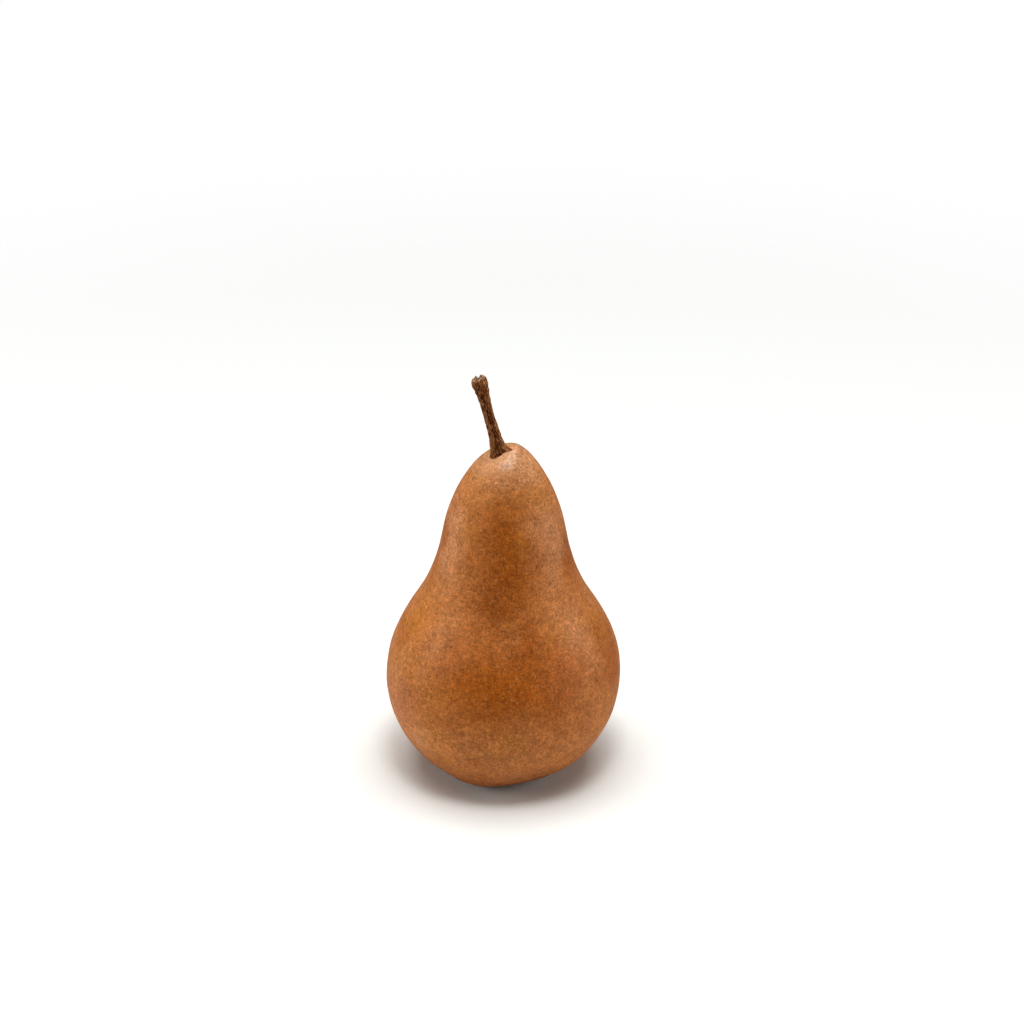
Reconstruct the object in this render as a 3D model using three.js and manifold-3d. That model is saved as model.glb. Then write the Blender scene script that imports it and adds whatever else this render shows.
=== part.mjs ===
// A ripe russet pear of the long-necked Bosc kind, standing upright on its blossom end.
// Millimetres, +Z up. The origin is on the surface that the pear stands on, under the middle of the belly.
// -X is the side that the stem leans to, and -Y is taken as the front.
//
// The pear is three pieces that can be told apart by hand:
//   fruit  the flesh and skin, grown as one body, with a calyx basin below and a stem hollow on top
//   stem   the woody stalk, rooted in the flesh, with a flared foot and a swollen, broken tip
//   calyx  the dried ring and the five sepals of the old flower, in the basin underneath
import * as THREE from "three";
import { mergeVertices } from "three/addons/utils/BufferGeometryUtils.js";
import Module from "manifold-3d";

const wasm = await Module();
wasm.setup();

// ---- driving dimensions ----
const FRUIT_HEIGHT = 109; // resting surface to the crown, without the stem
const BELLY_RADIUS = 36;
const BELLY_HEIGHT = 32; // height of the widest ring
const WAIST_RADIUS = 24.8; // where the shoulder turns from round to hollow
const WAIST_HEIGHT = 61;
const WAIST_SLOPE = 0.5; // millimetres of radius lost per millimetre of height
const NECK_RADIUS = 18.7; // where the neck starts to round over into the crown
const NECK_HEIGHT = 80;
const NECK_SLOPE = 0.18;
const REST_INNER = 10.2; // the flat ring round the basin, which the pear stands on
const REST_OUTER = 12.6;
const BASIN_DEPTH = 6.4;

const LEAN = 0.7; // how far the crown has grown to +X
const BASE_SHIFT = -1.6; // how far the base has grown to -X
const BASE_REACH = 8.5; // height in which that fades
const CROWN_TILT = 0.07; // rise per millimetre towards +X across the crown
const LOBES = 5; // one faint lobe for each seed chamber, strongest round the basin
const LOBE_SHARE = 0.03; // of the radius
const LOBE_REACH = 13; // height in which the lobes fade
const LOBE_TURN = THREE.MathUtils.degToRad(-104); // the direction that the first lobe faces
const OVAL_SHARE = 0.006; // the belly is that much off round
const OVAL_TURN = THREE.MathUtils.degToRad(35);

const HOLLOW_DEPTH = 2.0; // the dimple at the stem's foot, deepest in front of it
const HOLLOW_RADIUS = 4.0;
const HOLLOW_CENTRE = new THREE.Vector2(-1.3, -1.4); // from the stem's foot
const LIP_HEIGHT = 0.9; // the fold of flesh behind the stem
const LIP_RADIUS = 3.2;
const LIP_CENTRE = new THREE.Vector2(3.0, 1.6); // from the stem's foot

const CLEARANCE = 0.3; // between two pieces that touch in the real pear
const FRUIT_SIDES = 72;

const STEM_SIDES = 28;
const STEM_RIDGES = 5;
const STEM_RIDGE_SHARE = 0.07;
const STEM_FIBRES = 9;
const STEM_FIBRE_SHARE = 0.035;
const STEM_TWIST = 0.05; // radians per millimetre
const STEM_STEPS = 34;
const TIP_REACH = 1.8; // the length of the tip that broke unevenly
const TIP_ROUGHNESS = 0.45;
// The stalk's centre line, from its root in the flesh to the broken tip.
const STEM_LINE = [
  [-1.2, 0.0, 102.5],
  [-1.4, 0.0, 107.5],
  [-2.4, 0.2, 112.0],
  [-4.0, 0.7, 118.0],
  [-5.6, 1.2, 124.0],
  [-7.1, 1.8, 129.9],
];
// The stalk's radius at each number of millimetres from its root.
const STEM_SIDE = [
  [0.0, 1.9],
  [3.0, 2.4],
  [5.0, 2.45],
  [7.0, 2.12],
  [9.6, 1.84],
  [12.9, 1.64],
  [16.0, 1.54],
  [19.2, 1.6],
  [22.3, 1.76],
  [25.2, 2.04],
  [27.2, 2.32],
  [28.0, 2.14],
  [28.3, 1.6],
];

const CALYX_RING_RADIUS = 3.1;
const CALYX_TUBE_RADIUS = 1.5; // the hole in the middle, where the dried stamens stand
const CALYX_TUBE_DEPTH = 2.2;
const CALYX_ROOT = 1.6; // how far the ring is rooted in the flesh
const SEPALS = 5;
const SEPAL_WIDTH = 3.2;
const SEPAL_THICKNESS = 0.7;
const SEPAL_TURN = 0.3;
const SEPAL_CURLS = [0.1, 0.6, 0.3, 0.7, 0.0]; // how far each tip has curled back up

// ---- helpers ----
const v2 = (x, y) => new THREE.Vector2(x, y);
const bell = (distance, width) => Math.exp(-((distance / width) ** 2));

// The points of a chain of curves in (radius, height), each curve cut into its own number of steps.
function outline(curves) {
  const points = [curves[0].curve.getPoint(0)];
  for (const { curve, steps } of curves)
    for (let i = 1; i <= steps; i++) points.push(curve.getPoint(i / steps));
  return points;
}

// A lathe about Z.
function lathe(points, sides) {
  return new THREE.LatheGeometry(points, sides).rotateX(Math.PI / 2);
}

// Moves every vertex of a geometry by a rule that takes and changes a Vector3.
function reshape(geometry, rule) {
  const places = geometry.getAttribute("position");
  const p = new THREE.Vector3();
  for (let i = 0; i < places.count; i++) {
    rule(p.fromBufferAttribute(places, i));
    places.setXYZ(i, p.x, p.y, p.z);
  }
  return geometry;
}

function solidOf(geometry) {
  const bare = geometry.clone().deleteAttribute("normal").deleteAttribute("uv");
  const merged = mergeVertices(bare, 1e-3);
  return new wasm.Manifold(
    new wasm.Mesh({
      numProp: 3,
      vertProperties: merged.getAttribute("position").array,
      triVerts: new Uint32Array(merged.index.array),
    }),
  );
}

function meshOf(solid, name, material) {
  const { vertProperties, triVerts } = solid.getMesh();
  const geometry = new THREE.BufferGeometry()
    .setAttribute("position", new THREE.BufferAttribute(vertProperties, 3))
    .setIndex(new THREE.BufferAttribute(triVerts, 1));
  geometry.computeVertexNormals();
  const mesh = new THREE.Mesh(geometry, material);
  mesh.name = name;
  return mesh;
}

// ---- stem ----
const stemLine = new THREE.CatmullRomCurve3(STEM_LINE.map((p) => new THREE.Vector3(...p)));
const stemLength = stemLine.getLength();

// The stalk as a straight ridged rod of the given growth all round, then bent along its line.
function stemGeometry(growth) {
  const side = new THREE.SplineCurve(STEM_SIDE.map(([along, radius]) => v2(radius + growth, along)));
  const points = side.getPoints(STEM_STEPS);
  points[0].y = -growth;
  const tip = points.at(-1).y;
  const tangent = new THREE.Vector3();
  const across = new THREE.Vector3();
  const behind = new THREE.Vector3();
  const centre = new THREE.Vector3();
  return reshape(lathe([v2(0, -growth), ...points, v2(0, tip)], STEM_SIDES), (p) => {
    const angle = Math.atan2(p.y, p.x) + STEM_TWIST * p.z;
    const ridges = STEM_RIDGE_SHARE * Math.cos(STEM_RIDGES * angle);
    const fibres = STEM_FIBRE_SHARE * Math.cos(STEM_FIBRES * angle + 1);
    const width = 1 + ridges + fibres;
    const broken = THREE.MathUtils.smoothstep(p.z, tip - TIP_REACH, tip) * Math.cos(2 * angle);
    const along = p.z + TIP_ROUGHNESS * broken * Math.min(1, Math.hypot(p.x, p.y));
    const share = THREE.MathUtils.clamp(p.z / stemLength, 0, 1);
    const x = p.x * width;
    const y = p.y * width;
    stemLine.getPointAt(share, centre);
    stemLine.getTangentAt(share, tangent);
    across.set(1, 0, 0).addScaledVector(tangent, -tangent.x).normalize();
    behind.crossVectors(tangent, across);
    p.copy(centre).addScaledVector(across, x).addScaledVector(behind, y);
    p.addScaledVector(tangent, along - share * stemLength);
  });
}

// ---- fruit ----
const stemFoot = stemLine.getPointAt(0.15);

function fruitOutline() {
  const waist = v2(WAIST_RADIUS, WAIST_HEIGHT);
  const neck = v2(NECK_RADIUS, NECK_HEIGHT);
  const up = (point, slope, reach) => {
    const direction = v2(-slope, 1).normalize();
    return point.clone().addScaledVector(direction, reach);
  };
  const bezier = (...points) => new THREE.CubicBezierCurve(...points);
  return outline([
    // the basin, from its floor out to the flat ring
    {
      curve: bezier(v2(0, BASIN_DEPTH), v2(6.5, BASIN_DEPTH), v2(7.2, 0), v2(REST_INNER, 0)),
      steps: 9,
    },
    { curve: new THREE.LineCurve(v2(REST_INNER, 0), v2(REST_OUTER, 0)), steps: 1 },
    // the round of the belly, up to its widest ring
    {
      curve: bezier(
        v2(REST_OUTER, 0),
        v2(REST_OUTER + 8, 0),
        v2(BELLY_RADIUS, BELLY_HEIGHT - 18.6),
        v2(BELLY_RADIUS, BELLY_HEIGHT),
      ),
      steps: 15,
    },
    // the shoulder
    {
      curve: bezier(
        v2(BELLY_RADIUS, BELLY_HEIGHT),
        v2(BELLY_RADIUS, BELLY_HEIGHT + 13.2),
        up(waist, WAIST_SLOPE, -7.5),
        waist,
      ),
      steps: 10,
    },
    // the hollow waist
    { curve: bezier(waist, up(waist, WAIST_SLOPE, 5), up(neck, NECK_SLOPE, -9), neck), steps: 6 },
    // the neck, rounding over into the crown
    {
      curve: bezier(neck, up(neck, NECK_SLOPE, 16), v2(7.6, FRUIT_HEIGHT), v2(0, FRUIT_HEIGHT)),
      steps: 14,
    },
  ]);
}

// What makes the lathe's shape a grown one: lobes round the basin, an oval belly, a lean, a tilted crown,
// and the dimple and the fold round the stem.
function grow(p) {
  const angle = Math.atan2(p.y, p.x);
  const lobes = LOBE_SHARE * bell(p.z, LOBE_REACH) * Math.cos(LOBES * (angle - LOBE_TURN));
  const oval = OVAL_SHARE * Math.cos(2 * (angle - OVAL_TURN));
  const width = 1 + lobes + oval;
  const share = p.z / FRUIT_HEIGHT;
  const crown = THREE.MathUtils.smoothstep(share, 0.85, 1);
  const x = p.x * width + LEAN * share ** 2 + BASE_SHIFT * bell(p.z, BASE_REACH);
  const y = p.y * width;
  const place = v2(x - stemFoot.x, y - stemFoot.y);
  const lip = LIP_HEIGHT * bell(place.distanceTo(LIP_CENTRE), LIP_RADIUS);
  const hollow = HOLLOW_DEPTH * bell(place.distanceTo(HOLLOW_CENTRE), HOLLOW_RADIUS);
  p.set(x, y, p.z + crown * (CROWN_TILT * x + lip - hollow));
}

function fruitSolid() {
  const body = solidOf(reshape(lathe(fruitOutline(), FRUIT_SIDES), grow));
  const stemSocket = solidOf(stemGeometry(CLEARANCE));
  const socketRadius = CALYX_RING_RADIUS + CLEARANCE;
  const socketRoof = BASIN_DEPTH + CALYX_ROOT + CLEARANCE;
  const calyxSocket = solidOf(
    new THREE.CylinderGeometry(socketRadius, socketRadius, socketRoof, 24)
      .rotateX(Math.PI / 2)
      .translate(BASE_SHIFT, 0, socketRoof / 2),
  );
  return body.subtract(stemSocket).subtract(calyxSocket);
}

// ---- calyx ----
function calyxRing() {
  const top = BASIN_DEPTH + CALYX_ROOT;
  const rim = BASIN_DEPTH - 1.4;
  return lathe(
    [
      v2(0, rim + CALYX_TUBE_DEPTH),
      v2(CALYX_TUBE_RADIUS, rim + CALYX_TUBE_DEPTH),
      v2(CALYX_TUBE_RADIUS + 0.15, rim + 0.4),
      v2(CALYX_TUBE_RADIUS + 0.5, rim),
      v2(CALYX_RING_RADIUS - 0.5, rim + 0.1),
      v2(CALYX_RING_RADIUS, rim + 0.6),
      v2(CALYX_RING_RADIUS, top),
      v2(0, top),
    ],
    20,
  );
}

// One sepal: a pointed blade that starts inside the ring, runs out under the basin and curls at its tip.
function sepal(turn, curl) {
  const line = new THREE.CatmullRomCurve3([
    new THREE.Vector3(2.3, 0, 5.3),
    new THREE.Vector3(3.5, 0, 4.6),
    new THREE.Vector3(4.7, 0, 3.7),
    new THREE.Vector3(5.6, 0, 2.7 + 0.3 * curl),
    new THREE.Vector3(6.2, 0, 1.8 + curl),
  ]);
  const centre = new THREE.Vector3();
  const tangent = new THREE.Vector3();
  const normal = new THREE.Vector3();
  return reshape(new THREE.BoxGeometry(1, 1, 1, 9, 4, 1), (p) => {
    const along = p.x + 0.5;
    const halfWidth = (SEPAL_WIDTH / 2) * (1 - along) ** 0.7 + 0.12;
    const across = p.y * 2;
    line.getPointAt(along, centre);
    line.getTangentAt(along, tangent);
    normal.set(-tangent.z, 0, tangent.x);
    const cupped = 0.45 * across ** 2 * halfWidth;
    const x = centre.x + normal.x * (p.z * SEPAL_THICKNESS - cupped);
    const z = centre.z + normal.z * (p.z * SEPAL_THICKNESS - cupped);
    p.set(x, across * halfWidth, z);
  }).rotateZ(turn);
}

function calyxSolid() {
  let solid = solidOf(calyxRing());
  for (let i = 0; i < SEPALS; i++) {
    const turn = SEPAL_TURN + (i / SEPALS) * 2 * Math.PI;
    solid = solid.add(solidOf(sepal(turn, SEPAL_CURLS[i])));
  }
  return solid.translate([BASE_SHIFT, 0, 0]);
}

// ---- the pear ----
const russet = new THREE.MeshStandardMaterial({ color: 0xa8622e, roughness: 0.55, metalness: 0 });
const wood = new THREE.MeshStandardMaterial({ color: 0x5a3a26, roughness: 0.85, metalness: 0 });
const dried = new THREE.MeshStandardMaterial({ color: 0x33241b, roughness: 0.95, metalness: 0 });

const pear = new THREE.Group();
pear.add(meshOf(fruitSolid(), "fruit", russet));
pear.add(meshOf(solidOf(stemGeometry(0)), "stem", wood));
pear.add(meshOf(calyxSolid(), "calyx", dried));

export default pear;
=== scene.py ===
# %% [markdown]
# # A russet pear
# This lesson dresses a imported CAD model of a pear. The CAD model holds the true size: a fruit, a stem
# and a dried calyx. It is loaded first and never changed. Finer pieces are then made around it, in
# metres and in the same frame, and each one hides the CAD node it stands for.

# %% Load the frame
import math
import random

import bmesh
import bpy
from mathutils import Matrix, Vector, geometry, noise
from mathutils.bvhtree import BVHTree


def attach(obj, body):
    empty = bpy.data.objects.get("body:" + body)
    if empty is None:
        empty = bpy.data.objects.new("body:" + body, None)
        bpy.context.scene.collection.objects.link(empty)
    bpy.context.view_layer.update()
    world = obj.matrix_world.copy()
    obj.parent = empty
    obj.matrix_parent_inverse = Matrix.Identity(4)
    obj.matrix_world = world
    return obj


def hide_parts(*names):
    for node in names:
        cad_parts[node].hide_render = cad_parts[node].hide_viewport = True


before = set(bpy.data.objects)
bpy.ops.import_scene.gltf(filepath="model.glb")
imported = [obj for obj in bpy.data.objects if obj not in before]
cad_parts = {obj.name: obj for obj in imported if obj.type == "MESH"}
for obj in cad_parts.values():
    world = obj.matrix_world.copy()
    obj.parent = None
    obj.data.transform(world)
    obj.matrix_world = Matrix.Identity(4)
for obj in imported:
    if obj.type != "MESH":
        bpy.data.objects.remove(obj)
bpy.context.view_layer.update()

MM = 0.001
print("nodes:", sorted(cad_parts))

# %% [markdown]
# ## Camera and light
# Fruit in a catalogue stands on white and is seen from a little above, through a long lens so that
# its outline isn't swollen by perspective. A big soft box hangs overhead, one stands low at each side,
# and a small weak one high in front draws the highlight on the crown. Hardly anything lights the pear
# from the camera's side, so the middle of the fruit stays deep in colour and its flanks come up
# lighter. A single lamp would be simpler, but it would give one hard spot and one hard shadow.

# %% Camera
CAMERA_TARGET = Vector((0.0027, 0, 0.0869))
CAMERA_DISTANCE = 0.85
CAMERA_PITCH = math.radians(27.42)
CAMERA_LENS = 100

back = Vector((0, -math.cos(CAMERA_PITCH), math.sin(CAMERA_PITCH)))
bpy.ops.object.camera_add(
    location=CAMERA_TARGET + CAMERA_DISTANCE * back,
    rotation=(math.pi / 2 - CAMERA_PITCH, 0, 0),
)
camera = bpy.context.object
camera.name = "camera"
camera.data.lens = CAMERA_LENS
bpy.context.scene.camera = camera
print("camera at", [round(c, 4) for c in camera.location])

# %% Soft boxes
LIT_MIDDLE = Vector((0, 0, 0.06))  # the point that every soft box faces
SOFT_BOXES = [  # (name, turn and rise in degrees as the pear sees it, reach and size in metres, watts)
    ("box_over", 0, 90, 1.05, (1.0, 1.0), 12.6),
    ("box_left", -92, 12, 0.9, (0.6, 0.34), 3.9),
    ("box_right", 90, 14, 0.9, (0.6, 0.36), 2.7),
    ("box_crown", 5, 70, 0.9, (0.2, 0.2), 2.2),
]


def soft_box(name, turn, rise, reach, size, watts):
    """A rectangular lamp that faces the pear and that the camera doesn't see."""
    turn, rise = math.radians(turn), math.radians(rise)
    flat = math.cos(rise)
    outward = Vector((math.sin(turn) * flat, -math.cos(turn) * flat, math.sin(rise)))
    facing = (-outward).to_track_quat("-Z", "Y").to_euler()
    bpy.ops.object.light_add(type="AREA", location=LIT_MIDDLE + reach * outward, rotation=facing)
    lamp = bpy.context.object
    lamp.name = name
    lamp.data.shape = "RECTANGLE"
    lamp.data.size, lamp.data.size_y = size
    lamp.data.energy = watts
    lamp.visible_camera = False


for box in SOFT_BOXES:
    soft_box(*box)
bpy.context.scene.view_settings.view_transform = "Standard"

# %% [markdown]
# ## Shader maths as plain expressions
# A material is a tree of nodes, and long node lists are hard to read. Here one small class wraps an
# output socket, so that `1 - mask` or `a * b + c` adds the Math nodes itself, and one method adds any
# other node. Colours are mixed with Mix nodes, because a Math node would turn them grey.


# %% A wire of a node tree
class Wire:
    """One output socket. Arithmetic on wires and numbers adds Math nodes.

    The sizes of noise, and the centres and reaches of masks, are in millimetres.
    """

    def __init__(self, tree, socket=None):
        self.tree = tree
        self.socket = socket

    def node(self, kind, settings=None, inputs=None, output=0):
        """Adds a node: its settings first, then the values or wires of its sockets."""
        made = self.tree.nodes.new("ShaderNode" + kind)
        for name, value in (settings or {}).items():
            setattr(made, name, value)
        for key, value in (inputs or {}).items():
            if isinstance(value, Wire):
                self.tree.links.new(value.socket, made.inputs[key])
            else:
                made.inputs[key].default_value = value
        return Wire(self.tree, made.outputs[output])

    def maths(self, operation, first, second):
        return self.node("Math", {"operation": operation}, {0: first, 1: second})

    def vector(self, operation, first, second, output=0):
        return self.node("VectorMath", {"operation": operation}, {0: first, 1: second}, output)

    def __add__(self, other):
        return self.maths("ADD", self, other)

    def __sub__(self, other):
        return self.maths("SUBTRACT", self, other)

    def __rsub__(self, other):
        return self.maths("SUBTRACT", other, self)

    def __mul__(self, other):
        return self.maths("MULTIPLY", self, other)

    __radd__ = __add__
    __rmul__ = __mul__

    def band(self, low, high):
        """0 below low, 1 above high, and smooth between them."""
        settings = {"interpolation_type": "SMOOTHSTEP"}
        return self.node("MapRange", settings, {"Value": self, "From Min": low, "From Max": high})

    def axis(self, name):
        """One axis of a wire that carries a place."""
        return self.node("SeparateXYZ", None, {0: self}, name)

    def length(self):
        """How far from the origin a wire that carries a place is."""
        return self.vector("LENGTH", self, (0, 0, 0), "Value")

    def stretched(self, scale):
        """A wire that carries a place, with each axis scaled."""
        return self.vector("MULTIPLY", self, scale)

    def cloud(self, size, detail, roughness, output="Fac"):
        """Noise from 0 to 1 with lumps of a size, at a wire that carries a place."""
        inputs = {"Vector": self, "Scale": 1 / (size * MM), "Detail": detail, "Roughness": roughness}
        return self.node("TexNoise", None, inputs, output)

    def wandering(self, size, reach):
        """A wire that carries a place, pushed about by noise so that round masks get ragged edges."""
        push = self.cloud(size, 2, 0.5, "Color")
        push = self.vector("SUBTRACT", push, (0.5, 0.5, 0.5))
        return self.vector("ADD", self, push.stretched([2 * reach * MM] * 3))

    def near(self, centre, reach):
        """1 at a point and 0 beyond a reach along X, Y and Z, of a wire that carries a place."""
        away = self.vector("SUBTRACT", self, [c * MM for c in centre])
        away = away.vector("DIVIDE", away, [r * MM for r in reach])
        return 1 - away.length().band(0.0, 1.0)

    def near_any(self, spots):
        """The largest of several soft masks. Each spot is a centre and a reach."""
        masks = [self.near(centre, reach) for centre, reach in spots]
        largest = masks[0]
        for mask in masks[1:]:
            largest = self.maths("MAXIMUM", largest, mask)
        return largest

    def mixed(self, colour, share):
        """A wire that carries a colour, mixed with another colour by a share."""
        return self.node("Mix", {"data_type": "RGBA"}, {"Factor": share, 6: self, 7: colour}, 2)

    def times(self, factor):
        """A wire that carries a colour, made lighter or darker."""
        return self.node("VectorMath", {"operation": "SCALE"}, {0: self, "Scale": factor})


# %% From a material to its sockets
def new_material(name):
    """A material, a wire to start from, and its Principled shader."""
    made = bpy.data.materials.new(name)
    made.use_nodes = True
    shader = made.node_tree.nodes["Principled BSDF"]
    return made, Wire(made.node_tree), shader


def layered(start, ground, layers):
    """A ground colour with others laid over it in turn: a colour, where it lies and its share there."""
    colour = start.node("RGB")
    colour.socket.default_value = ground
    for other, where, share in layers:
        colour = colour.mixed(other, where * share)
    return colour


def feed(shader, name, wire):
    """Links a wire to one of the shader's sockets."""
    wire.tree.links.new(wire.socket, shader.inputs[name])


# %% [markdown]
# ## White paper in a white room
# The pear stands on a sheet of matt white paper, which takes its shadow. The paper is one wide plane
# that fades out a little way off, so that no horizon shows from any side. Past it is a room that is
# white where the camera sees it. Light from a white room would reach the pear evenly from all sides
# and wash its shape out, so the room gives hardly any, and the soft boxes do the lighting.

# %% Paper
PAPER_WIDTH = 12  # metres
PAPER_WHITE = (0.92, 0.935, 0.9, 1)
PAPER_ROUGHNESS, PAPER_SHINE = 0.9, 0.1
FADE_START, FADE_END = 0.2, 0.55  # metres from the pear

bpy.ops.mesh.primitive_plane_add(size=PAPER_WIDTH)
floor = bpy.context.object
floor.name = "floor"

paper, start, paper_shader = new_material("white_paper")
paper_shader.inputs["Base Color"].default_value = PAPER_WHITE
paper_shader.inputs["Roughness"].default_value = PAPER_ROUGHNESS
paper_shader.inputs["Specular IOR Level"].default_value = PAPER_SHINE
place = start.node("TexCoord", output="Object")
feed(paper_shader, "Alpha", 1 - place.length().band(FADE_START, FADE_END))
floor.data.materials.append(paper)
print("paper:", PAPER_WIDTH, "m wide, gone", FADE_END, "m from the pear")

# %% Room
ROOM_WHITE = (1, 1, 1, 1)
ROOM_LIGHT = 0.01  # how much of its white the room gives as light

room = bpy.data.worlds.new("room")
room.use_nodes = True
room_shader = room.node_tree.nodes["Background"]
room_shader.inputs["Color"].default_value = ROOM_WHITE
seen = Wire(room.node_tree).node("LightPath", output="Is Camera Ray")
feed(room_shader, "Strength", ROOM_LIGHT + seen * (1 - ROOM_LIGHT))
bpy.context.scene.world = room
print("room: white, and gives", ROOM_LIGHT, "of its light")

# %% [markdown]
# ## Helpers for modelling
# Operators act on whatever is selected and active, so each step has to say first what that is. These
# short functions do so: they pick one object, or the one open ring that passes a test, and then copy,
# shade, extrude or close it. The last few measure a piece and hold it against its CAD solid.


# %% Pick, move and apply
def pick(piece):
    """Makes a piece the only selected object, and the active one."""
    bpy.ops.object.select_all(action="DESELECT")
    piece.select_set(True)
    bpy.context.view_layer.objects.active = piece


def smooth(piece):
    """Shades a piece's faces smooth."""
    pick(piece)
    bpy.ops.object.shade_smooth()


def delete(piece):
    """Removes an object that only served to make others."""
    pick(piece)
    bpy.ops.object.delete()


def copied(piece, name):
    """A copy of a piece with its own mesh."""
    pick(piece)
    bpy.ops.object.duplicate()
    copy = bpy.context.object
    copy.name = name
    return copy


def move_vertices(piece, rule):
    """In object mode, puts every vertex where a rule says."""
    for vertex in piece.data.vertices:
        vertex.co = rule(vertex.co)
    piece.data.update()


def finish_modifier(piece, kind, **settings):
    """Adds a modifier, sets it and applies it."""
    pick(piece)
    bpy.ops.object.modifier_add(type=kind)
    modifier = piece.modifiers[-1]
    for name, value in settings.items():
        setattr(modifier, name, value)
    bpy.ops.object.modifier_apply(modifier=modifier.name)


# %% Rings: extrude, find and close
def extrude_ring(rise, share, centre):
    """In edit mode, extrudes the selected ring by a vector and scales the new one about a centre."""
    bpy.ops.mesh.extrude_region_move(TRANSFORM_OT_translate={"value": rise})
    bpy.ops.transform.resize(value=(share, share, 1), center_override=centre)


def turned(name, profile, sides):
    """A tube made by extruding a ring along a profile of (radius, height) in mm. Both ends stay open."""
    bpy.ops.object.select_all(action="DESELECT")
    first = profile[0]
    bpy.ops.mesh.primitive_circle_add(vertices=sides, radius=first[0] * MM)
    piece = bpy.context.object
    piece.name = name
    bpy.ops.object.mode_set(mode="EDIT")
    bpy.ops.transform.translate(value=(0, 0, first[1] * MM))
    for last, ring in zip(profile, profile[1:]):
        extrude_ring((0, 0, (ring[1] - last[1]) * MM), ring[0] / last[0], (0, 0, ring[1] * MM))
    bpy.ops.object.mode_set(mode="OBJECT")
    return piece


def select_open_ring(piece, wanted):
    """In edit mode, selects the open ring whose height in mm passes a test."""
    bpy.ops.mesh.select_mode(type="VERT")
    bpy.ops.mesh.select_all(action="DESELECT")
    bpy.ops.mesh.select_non_manifold()
    edited = bmesh.from_edit_mesh(piece.data)
    for vertex in edited.verts:
        if not wanted(vertex.co.z / MM):
            vertex.select = False
    edited.select_flush(False)
    bmesh.update_edit_mesh(piece.data)


def close_ring(piece, wanted):
    """In edit mode, closes the open ring whose height in mm passes a test with a fan of faces."""
    select_open_ring(piece, wanted)
    bpy.ops.mesh.extrude_region_move()
    bpy.ops.mesh.merge(type="CENTER")


def close_both_ends(piece, middle):
    """Closes a tube's two open rings, one below and one above a height in mm."""
    pick(piece)
    bpy.ops.object.mode_set(mode="EDIT")
    close_ring(piece, lambda height: height < middle)
    close_ring(piece, lambda height: height > middle)
    face_outwards()
    bpy.ops.object.mode_set(mode="OBJECT")


def face_outwards():
    """In edit mode, turns every face of a closed mesh outwards."""
    bpy.ops.mesh.select_all(action="SELECT")
    bpy.ops.mesh.normals_make_consistent(inside=False)


# %% Smooth steps, and measures
def bell(distance, width):
    """1 at no distance, falling smoothly to nothing a few widths away."""
    return math.exp(-((distance / width) ** 2))


def ease(value, low, high):
    """0 below low, 1 above high, and smooth between them."""
    share = min(1.0, max(0.0, (value - low) / (high - low)))
    return share * share * (3 - 2 * share)


def report(piece):
    """Prints how big a piece is."""
    size = ", ".join(f"{side / MM:.1f}" for side in piece.dimensions)
    piece.data.calc_loop_triangles()
    print(f"{piece.name}: {size} mm, {len(piece.data.loop_triangles)} triangles")


def gap_to_node(piece, node):
    """Prints the largest and the mean distance from the piece's vertices to the CAD node's surface."""
    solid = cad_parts[node]
    shape = BVHTree.FromPolygons(
        [v.co for v in solid.data.vertices],
        [tuple(p.vertices) for p in solid.data.polygons],
    )
    gaps = [shape.find_nearest(v.co)[3] for v in piece.data.vertices]
    mean = sum(gaps) / len(gaps)
    print(f"{piece.name} to {node}: at most {max(gaps) / MM:.2f} mm, mean {mean / MM:.3f} mm")


# %% [markdown]
# ## The fruit
# A pear grows round its core, so it starts as a turned shape: one ring of vertices, extruded and
# scaled ring by ring up the same outline as the CAD solid. A sphere stretched to height could be
# pulled into a pear too, but its rings would bunch at the poles and the waist would need sculpting.

# %% The outline, in millimetres
FRUIT_HEIGHT = 109.0
FRUIT_SIDES = 72
BELLY_RADIUS, BELLY_HEIGHT = 36.0, 32.0
WAIST_RADIUS, WAIST_HEIGHT, WAIST_SLOPE = 24.8, 61.0, 0.5
NECK_RADIUS, NECK_HEIGHT, NECK_SLOPE = 18.7, 80.0, 0.18
REST_INNER, REST_OUTER = 10.2, 12.6  # the flat ring under the fruit, which it rests on
BASIN_DEPTH, BASIN_HOLE = 6.4, 2.5
STEM_HOLE, STEM_GAP = 2.5, 0.5  # the hole's radius, and the least step from it to the next ring

# How far each curve runs straight on from its two ends before it bends
BASIN_RUN, BASIN_RIM_RUN = 6.5, 3.0
BASE_RUN, BELLY_RUN_DOWN, BELLY_RUN_UP = 8.0, 18.6, 13.2
WAIST_RUN_DOWN, WAIST_RUN_UP = 7.5, 5.0
NECK_RUN_DOWN, NECK_RUN_UP, CROWN_RUN = 9.0, 16.0, 7.6
BASIN_STEPS, BASE_STEPS, SHOULDER_STEPS, HOLLOW_STEPS, CROWN_STEPS = 14, 14, 10, 7, 24


def curve(start, start_handle, end_handle, end, steps):
    """The points of one Bezier curve in (radius, height), without its first."""
    places = [Vector(p) for p in (start, start_handle, end_handle, end)]
    return geometry.interpolate_bezier(*places, steps + 1)[1:]


def along(point, slope, reach):
    """A point that lies some way up a wall that narrows at a slope."""
    return Vector(point) + reach * Vector((-slope, 1)).normalized()


basin_floor, rest_inner, rest_outer = (0, BASIN_DEPTH), (REST_INNER, 0), (REST_OUTER, 0)
belly, top = (BELLY_RADIUS, BELLY_HEIGHT), (0, FRUIT_HEIGHT)
waist, neck = (WAIST_RADIUS, WAIST_HEIGHT), (NECK_RADIUS, NECK_HEIGHT)

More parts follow.
